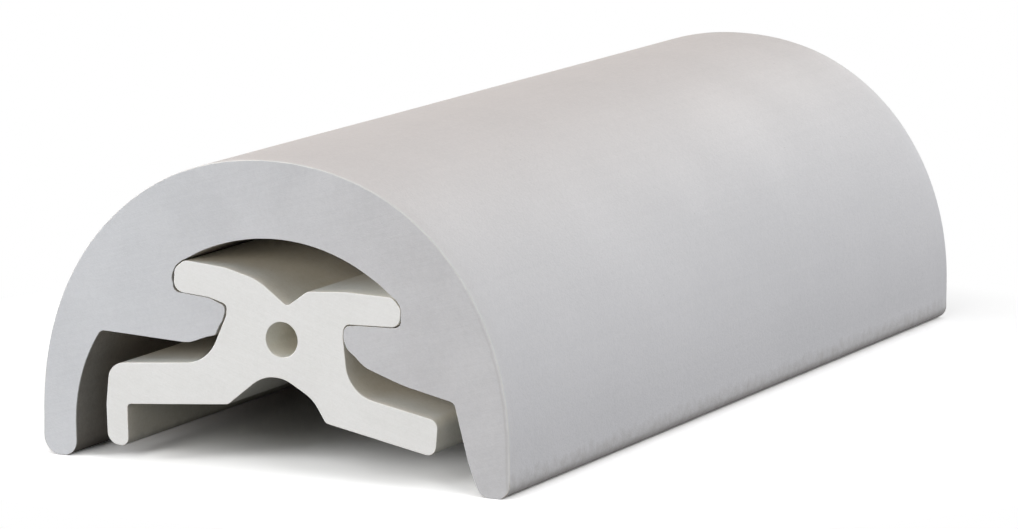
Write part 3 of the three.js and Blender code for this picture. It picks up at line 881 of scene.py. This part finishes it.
def lay_floor():
    """A round pale floor that the lips rest on: lifted near the stock, plain white away from it."""
    disc = bmesh.new()
    bmesh.ops.create_circle(disc, cap_ends=True, segments=FLOOR_SIDES, radius=FLOOR_RADIUS)
    mesh = bpy.data.meshes.new("floor")
    disc.to_mesh(mesh)
    disc.free()
    floor = bpy.data.objects.new("floor", mesh)
    bpy.context.scene.collection.objects.link(floor)
    material = bpy.data.materials.new("pale_floor")
    material.use_nodes = True
    material.node_tree.nodes.clear()
    wire = Wiring(material.node_tree)
    near = wire.node("ShaderNodeBsdfDiffuse", {"Color": grey(FLOOR_SEEN_LEVEL)})
    far = wire.node("ShaderNodeEmission", {"Color": grey(1.0), "Strength": 1.0})
    place = wire.node("ShaderNodeTexCoord").outputs["Object"]
    away = wire.node("ShaderNodeVectorMath", operation="LENGTH")
    wire.feed(away.inputs[0], place)
    seen = wire.node("ShaderNodeMixShader")
    wire.feed(seen.inputs[0], wire.spread(away.outputs["Value"], FLOOR_FADE_START, FLOOR_FADE_END))
    wire.feed(seen.inputs[1], near.outputs[0])
    wire.feed(seen.inputs[2], far.outputs[0])
    bounced = wire.node("ShaderNodeBsdfDiffuse", {"Color": grey(FLOOR_BOUNCE_LEVEL)})
    mix = wire.node("ShaderNodeMixShader")
    wire.feed(mix.inputs[0], wire.node("ShaderNodeLightPath").outputs["Is Camera Ray"])
    wire.feed(mix.inputs[1], bounced.outputs[0])
    wire.feed(mix.inputs[2], seen.outputs[0])
    output = wire.node("ShaderNodeOutputMaterial")
    wire.feed(output.inputs["Surface"], mix.outputs[0])
    mesh.materials.append(material)
    return floor


def light_world():
    """An even white surround, full white to the camera and softer as light."""
    world = bpy.data.worlds.new("studio")
    bpy.context.scene.world = world
    world.use_nodes = True
    world.node_tree.nodes.clear()
    wire = Wiring(world.node_tree)
    strength = wire.node("ShaderNodeMix", data_type="FLOAT")
    wire.feed(strength.inputs["Factor"], wire.node("ShaderNodeLightPath").outputs["Is Camera Ray"])
    for place, level in zip(MIXED_NUMBERS, (WORLD_STRENGTH, BACKDROP_STRENGTH)):
        strength.inputs[place].default_value = level
    back = wire.node("ShaderNodeBackground", {"Color": grey(1.0), "Strength": strength.outputs[0]})
    output = wire.node("ShaderNodeOutputWorld")
    wire.feed(output.inputs["Surface"], back.outputs[0])


def hang_light(name, lit_pieces, turn, rise, size, power, colour=WHITE, distance=FAR_LIGHT):
    """A soft square light, turned and raised by degrees round the stock, on the given pieces only."""
    level = distance * math.cos(math.radians(rise))
    across = level * math.sin(math.radians(turn))
    along = -level * math.cos(math.radians(turn))
    aim = Vector((0.0, 0.0, AIM_HEIGHT))
    place = aim + Vector((across, along, distance * math.sin(math.radians(rise))))
    lamp = bpy.data.lights.new(name, "AREA")
    lamp.shape = "SQUARE"
    lamp.size = size
    lamp.energy = power
    lamp.color = colour
    light = bpy.data.objects.new(name, lamp)
    light.location = place
    light.rotation_euler = (aim - place).to_track_quat("-Z", "Y").to_euler()
    bpy.context.scene.collection.objects.link(light)
    lit = bpy.data.collections.new(name + "_lit")
    for piece in lit_pieces:
        lit.objects.link(piece)
    light.light_linking.receiver_collection = lit


def light_floor(floor):
    """Soft lights on the floor alone, which shape the shadow beside and under the stock."""
    hang_light("floor_front_softbox", [floor], turn=0.0, rise=30.0, size=0.7, power=3.4)
    hang_light("floor_left_softbox", [floor], turn=-45.0, rise=15.0, size=0.5, power=8.2)
    hang_light("floor_right_softbox", [floor], turn=45.0, rise=15.0, size=0.5, power=2.2)
    hang_light("floor_side_softbox", [floor], turn=62.0, rise=38.0, size=0.8, power=4.6)


def light_stock(pieces):
    """Soft lights on the stock alone, warm and cool on the faces where the photograph is."""
    front = {"turn": 0.0, "rise": 13.0, "size": 0.5, "power": 9.5, "colour": WARM_WHITE}
    front_left = {"turn": -40.0, "rise": 25.0, "size": 0.8, "power": 6.35, "colour": SKY_BLUE}
    near_left = {"turn": -75.0, "rise": 8.0, "size": 0.3, "power": 1.5, "distance": NEAR_LIGHT}
    high_left = {"turn": -90.0, "rise": 50.0, "size": 0.8, "power": 7.5, "colour": AMBER}
    high_right = {"turn": 90.0, "rise": 65.0, "size": 0.8, "power": 3.27, "colour": COOL_WHITE}
    low_right = {"turn": 110.0, "rise": 5.0, "size": 0.4, "power": 10.26, "colour": COOLER_WHITE}
    back_right = {"turn": 140.0, "rise": 40.0, "size": 0.8, "power": 3.0}
    low_back = {"turn": 180.0, "rise": 12.0, "size": 0.6, "power": 3.5}
    hang_light("low_front_softbox", pieces, **front)
    hang_light("front_left_softbox", pieces, **front_left)
    hang_light("near_left_softbox", pieces, **near_left)
    hang_light("high_left_softbox", pieces, **high_left)
    hang_light("high_right_softbox", pieces, **high_right)
    hang_light("low_right_softbox", pieces, **low_right)
    hang_light("back_right_softbox", pieces, **back_right)
    hang_light("low_back_softbox", pieces, **low_back)


def dress_stage(pieces):
    """The floor, the surround, and studio lights of their own for the floor and for the stock."""
    bpy.context.scene.view_settings.view_transform = "Standard"
    floor = lay_floor()
    light_world()
    light_floor(floor)
    light_stock(pieces)


def main():
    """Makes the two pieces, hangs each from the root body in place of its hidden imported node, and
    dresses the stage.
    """
    place_camera()
    build_effects()
    dome_skin = skin_material(
        "flexible_vinyl_skin",
        (DOME_SKIN_DARK, DOME_SKIN_LIGHT),
        (DOME_PAINTED_SHADE_LEFT_WALL_DARK, DOME_PAINTED_SHADE_LEFT_WALL_LIGHT),
        (DOME_PAINTED_LIGHT_RIGHT_WALL_DARK, DOME_PAINTED_LIGHT_RIGHT_WALL_LIGHT),
        DOME_PAINTED_EDGE_HIGHLIGHT,
        DOME_SKIN_ROUGHNESS,
        DOME_SKIN_DEPTH,
    )
    dome_cut = cut_material(
        "flexible_vinyl_sawn",
        (DOME_PAINTED_LIT_LEFT_CUT_DARK, DOME_PAINTED_LIT_LEFT_CUT_LIGHT),
        (DOME_PAINTED_SHADE_RIGHT_CUT_DARK, DOME_PAINTED_SHADE_RIGHT_CUT_LIGHT),
        DOME_CUT_PAINTED_EDGE_SHADE,
        DOME_CUT_ROUGHNESS,
        DOME_CUT_DEPTH,
        DOME_CUT_SLANT,
    )
    support_walls = (SUPPORT_SKIN_DARK, SUPPORT_SKIN_LIGHT)
    support_skin = skin_material(
        "rigid_vinyl_skin",
        support_walls,
        support_walls,
        support_walls,
        SUPPORT_PAINTED_EDGE_HIGHLIGHT,
        SUPPORT_SKIN_ROUGHNESS,
        SUPPORT_SKIN_DEPTH,
    )
    support_cut = cut_material(
        "rigid_vinyl_sawn",
        (SUPPORT_PAINTED_LIT_LEFT_CUT_DARK, SUPPORT_PAINTED_LIT_LEFT_CUT_LIGHT),
        (SUPPORT_PAINTED_SHADE_RIGHT_CUT_DARK, SUPPORT_PAINTED_SHADE_RIGHT_CUT_LIGHT),
        SUPPORT_CUT_PAINTED_EDGE_SHADE,
        SUPPORT_CUT_ROUGHNESS,
        SUPPORT_CUT_DEPTH,
        SUPPORT_CUT_SLANT,
    )
    tree = stock_tree()
    fender_loops = wound(cut_face_loops("fender_profile"))
    support_loops = wound(cut_face_loops("support_profile"))
    fender_loops = [divided(loop) for loop in fender_loops]
    support_loops = [divided(loop) for loop in support_loops]
    fender_loops[0] = pressed_against(fender_loops[0], support_loops[0])
    stations = round(STOCK_LENGTH / STATION_SPACING) + 2 * EDGE_STEPS
    shared = {"Length": STOCK_LENGTH, "Stations": stations, "Edge Steps": EDGE_STEPS}
    dome_values = {
        **shared,
        "Edge Radius": DOME_EDGE_RADIUS,
        "Crisp Share": CRISP_SHARE,
        "Waviness": DOME_WAVINESS,
        "Wave Seed": DOME_WAVE_SEED,
        "Skin": dome_skin,
        "Cut": dome_cut,
    }
    support_values = {
        **shared,
        "Edge Radius": SUPPORT_EDGE_RADIUS,
        "Crisp Share": 1.0,
        "Waviness": SUPPORT_WAVINESS,
        "Wave Seed": SUPPORT_WAVE_SEED,
        "Skin": support_skin,
        "Cut": support_cut,
    }
    fender_shares = [outside_shares(loop) for loop in fender_loops]
    support_shares = [[0.0] * len(loop) for loop in support_loops]
    dome = cut_stock("flexible_fender_stock", fender_loops, fender_shares, tree, dome_values)
    support = cut_stock("rigid_support_stock", support_loops, support_shares, tree, support_values)
    for piece, node, slot in (
        (dome, "fender_profile", "flexible_vinyl"),
        (support, "support_profile", "rigid_vinyl"),
    ):
        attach(piece, "root")
        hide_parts(node)
    dress_stage([dome, support])


main()
